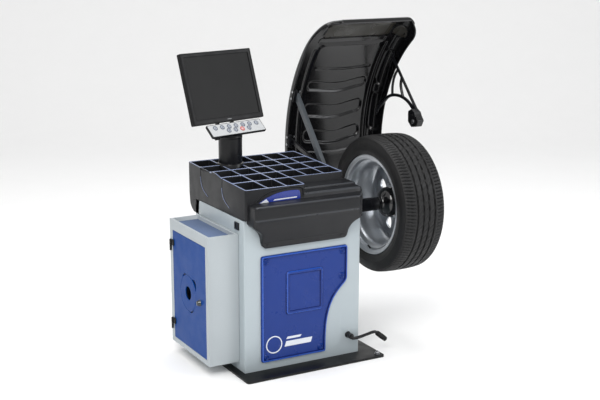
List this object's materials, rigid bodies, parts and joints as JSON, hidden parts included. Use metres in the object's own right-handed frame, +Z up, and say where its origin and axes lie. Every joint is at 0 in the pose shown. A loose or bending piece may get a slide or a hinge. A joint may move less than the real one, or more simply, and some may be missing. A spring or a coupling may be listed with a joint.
{
  "type": "wheel balancer machine",
  "caption": "Floor-standing wheel balancer: cabinet with weight tray, monitor on a post, hinged wheel hood, side tool box, foot pedal and a tyred wheel clamped on its spindle.",
  "frame": {"origin": "on the floor, under the middle of the cabinet", "axes": "+Z up, +X towards the wheel along the spindle, -Y the front where the operator stands"},
  "size_m": [1.239, 0.833, 1.4737],
  "materials": {
    "cabinet_paint": "satin light grey powder coat",
    "box_paint": "satin pale grey powder coat",
    "black_steel": "semi-gloss black paint",
    "arm_paint": "satin grey paint",
    "blue_panel": "moulded, fine texture",
    "door_paint": "satin blue paint",
    "blue_mat": "matt rubber mat",
    "tray_plastic": "textured moulding",
    "hood_plastic": "gloss thermoformed sheet",
    "monitor_plastic": "fine texture",
    "black_plastic": "fine texture",
    "screen_glass": "satin panel",
    "keypad_film": "satin film",
    "key_film": "satin film",
    "red_key_film": "satin film",
    "steel": "machined",
    "chrome_metal": "polished",
    "rim_alloy": "silver lacquer",
    "tyre_rubber": "moulded rubber",
    "belt_rubber": "ribbed",
    "grip_rubber": "matt"
  },
  "bodies": {
    "machine": {"base_plate": "black_steel", "cabinet_body": "cabinet_paint", "cabinet_back_panel": "cabinet_paint", "front_panel": "blue_panel", "power_inlet": "black_plastic", "weight_tray": "tray_plastic", "tray_divider_y1": "tray_plastic", "tray_divider_y2": "tray_plastic", "tray_divider_y3": "tray_plastic", "tray_divider_y4": "tray_plastic", "tray_divider_y5": "tray_plastic", "tray_divider_x1": "tray_plastic", "tray_divider_x2": "tray_plastic", "tray_divider_x3": "tray_plastic", "front_cowl": "tray_plastic", "spindle_shroud": "tray_plastic", "spindle_bridge": "steel", "drive_motor": "black_steel", "spindle_housing": "black_steel", "bearing_rear": "steel", "bearing_front": "steel", "drive_belt": "belt_rubber", "hood_bearing_bracket": "black_steel", "monitor_post": "black_steel", "tool_box": "box_paint", "tool_box_mat": "blue_mat", "door_hinge_low": "black_steel", "door_hinge_high": "black_steel", "pedal_bracket": "black_steel"},
    "spindle": {"spindle_shaft": "steel", "driven_pulley": "steel", "mounting_flange": "black_steel", "centring_cone": "steel", "wheel_rim": "rim_alloy", "tyre": "tyre_rubber"},
    "quick_nut": {"quick_nut": "black_plastic"},
    "motor_rotor": {"motor_pulley": "steel"},
    "hood": {"hood_arm": "arm_paint", "hood_shell": "hood_plastic"},
    "sensor": {"sensor_arm": "black_steel", "sensor_head": "black_plastic"},
    "monitor_head": {"monitor_yoke": "black_steel", "keypad_housing": "keypad_film"},
    "monitor": {"monitor_housing": "monitor_plastic", "monitor_screen": "screen_glass"},
    "tool_door": {"tool_door": "door_paint"},
    "door_lock": {"door_lock": "chrome_metal"},
    "pedal": {"pedal_lever": "black_steel", "pedal_grip": "grip_rubber"},
    "key_1": {"key_1": "key_film"},
    "key_2": {"key_2": "key_film"},
    "key_3": {"key_3": "key_film"},
    "key_4": {"key_4": "key_film"},
    "key_5": {"key_5": "key_film"},
    "key_6": {"key_6": "key_film"},
    "key_7": {"key_7": "key_film"},
    "key_8": {"key_8": "key_film"},
    "key_9": {"key_9": "key_film"},
    "key_10": {"key_10": "red_key_film"},
    "key_11": {"key_11": "key_film"}
  },
  "joints": [
    {"name": "spindle_spin", "type": "hinge", "parent": "machine", "child": "spindle", "pos_m": [0.3, -0.063, 0.645], "axis": [1, 0, 0], "continuous": true},
    {"name": "quick_nut_slide", "type": "slide", "parent": "spindle", "child": "quick_nut", "axis": [1, 0, 0], "range_m": [0, 0.11]},
    {"name": "motor_spin", "type": "hinge", "parent": "machine", "child": "motor_rotor", "pos_m": [0.1, 0.055, 0.545], "axis": [1, 0, 0], "continuous": true},
    {"name": "hood_hinge", "type": "hinge", "parent": "machine", "child": "hood", "pos_m": [0.3, 0.09, 0.79], "axis": [1, 0, 0], "range_deg": [0, 90]},
    {"name": "sensor_swing", "type": "hinge", "parent": "hood", "child": "sensor", "pos_m": [0.778, 0.37651, 1.00893], "axis": [0, 0.4094, -0.9124], "range_deg": [0, 12]},
    {"name": "monitor_swivel", "type": "hinge", "parent": "machine", "child": "monitor_head", "pos_m": [-0.132, 0.2, 0.99], "axis": [0, 0, 1], "range_deg": [-40, 40]},
    {"name": "monitor_tilt", "type": "hinge", "parent": "monitor_head", "child": "monitor", "pos_m": [-0.14583, 0.25633, 1.088], "axis": [0.9711, 0.2385, 0], "range_deg": [-12, 8]},
    {"name": "tool_door_hinge", "type": "hinge", "parent": "machine", "child": "tool_door", "pos_m": [-0.4415, 0.19, 0.325], "axis": [0, 0, -1], "range_deg": [0, 110]},
    {"name": "door_lock_turn", "type": "hinge", "parent": "tool_door", "child": "door_lock", "pos_m": [-0.436, -0.105, 0.316], "axis": [1, 0, 0], "range_deg": [0, 90]},
    {"name": "pedal_press", "type": "hinge", "parent": "machine", "child": "pedal", "pos_m": [0.232, -0.268, 0.102], "axis": [0, 1, 0], "range_deg": [0, 12], "stiffness_Nm_per_rad": 6, "springref_deg": -14.32},
    {"name": "key_1_press", "type": "slide", "parent": "monitor_head", "child": "key_1", "axis": [-0.1612, 0.6561, -0.7373], "range_m": [0, 0.0012], "stiffness_N_per_m": 400, "springref_m": -0.0004},
    {"name": "key_2_press", "type": "slide", "parent": "monitor_head", "child": "key_2", "axis": [-0.1612, 0.6561, -0.7373], "range_m": [0, 0.0012], "stiffness_N_per_m": 400, "springref_m": -0.0004},
    {"name": "key_3_press", "type": "slide", "parent": "monitor_head", "child": "key_3", "axis": [-0.1612, 0.6561, -0.7373], "range_m": [0, 0.0012], "stiffness_N_per_m": 400, "springref_m": -0.0004},
    {"name": "key_4_press", "type": "slide", "parent": "monitor_head", "child": "key_4", "axis": [-0.1612, 0.6561, -0.7373], "range_m": [0, 0.0012], "stiffness_N_per_m": 400, "springref_m": -0.0004},
    {"name": "key_5_press", "type": "slide", "parent": "monitor_head", "child": "key_5", "axis": [-0.1612, 0.6561, -0.7373], "range_m": [0, 0.0012], "stiffness_N_per_m": 400, "springref_m": -0.0004},
    {"name": "key_6_press", "type": "slide", "parent": "monitor_head", "child": "key_6", "axis": [-0.1612, 0.6561, -0.7373], "range_m": [0, 0.0012], "stiffness_N_per_m": 400, "springref_m": -0.0004},
    {"name": "key_7_press", "type": "slide", "parent": "monitor_head", "child": "key_7", "axis": [-0.1612, 0.6561, -0.7373], "range_m": [0, 0.0012], "stiffness_N_per_m": 400, "springref_m": -0.0004},
    {"name": "key_8_press", "type": "slide", "parent": "monitor_head", "child": "key_8", "axis": [-0.1612, 0.6561, -0.7373], "range_m": [0, 0.0012], "stiffness_N_per_m": 400, "springref_m": -0.0004},
    {"name": "key_9_press", "type": "slide", "parent": "monitor_head", "child": "key_9", "axis": [-0.1612, 0.6561, -0.7373], "range_m": [0, 0.0012], "stiffness_N_per_m": 400, "springref_m": -0.0004},
    {"name": "key_10_press", "type": "slide", "parent": "monitor_head", "child": "key_10", "axis": [-0.1612, 0.6561, -0.7373], "range_m": [0, 0.0012], "stiffness_N_per_m": 400, "springref_m": -0.0004},
    {"name": "key_11_press", "type": "slide", "parent": "monitor_head", "child": "key_11", "axis": [-0.1612, 0.6561, -0.7373], "range_m": [0, 0.0012], "stiffness_N_per_m": 400, "springref_m": -0.0004}
  ],
  "couplings": [
    {"joint": "motor_spin", "follows": "spindle_spin", "ratio": 2.25}
  ]
}
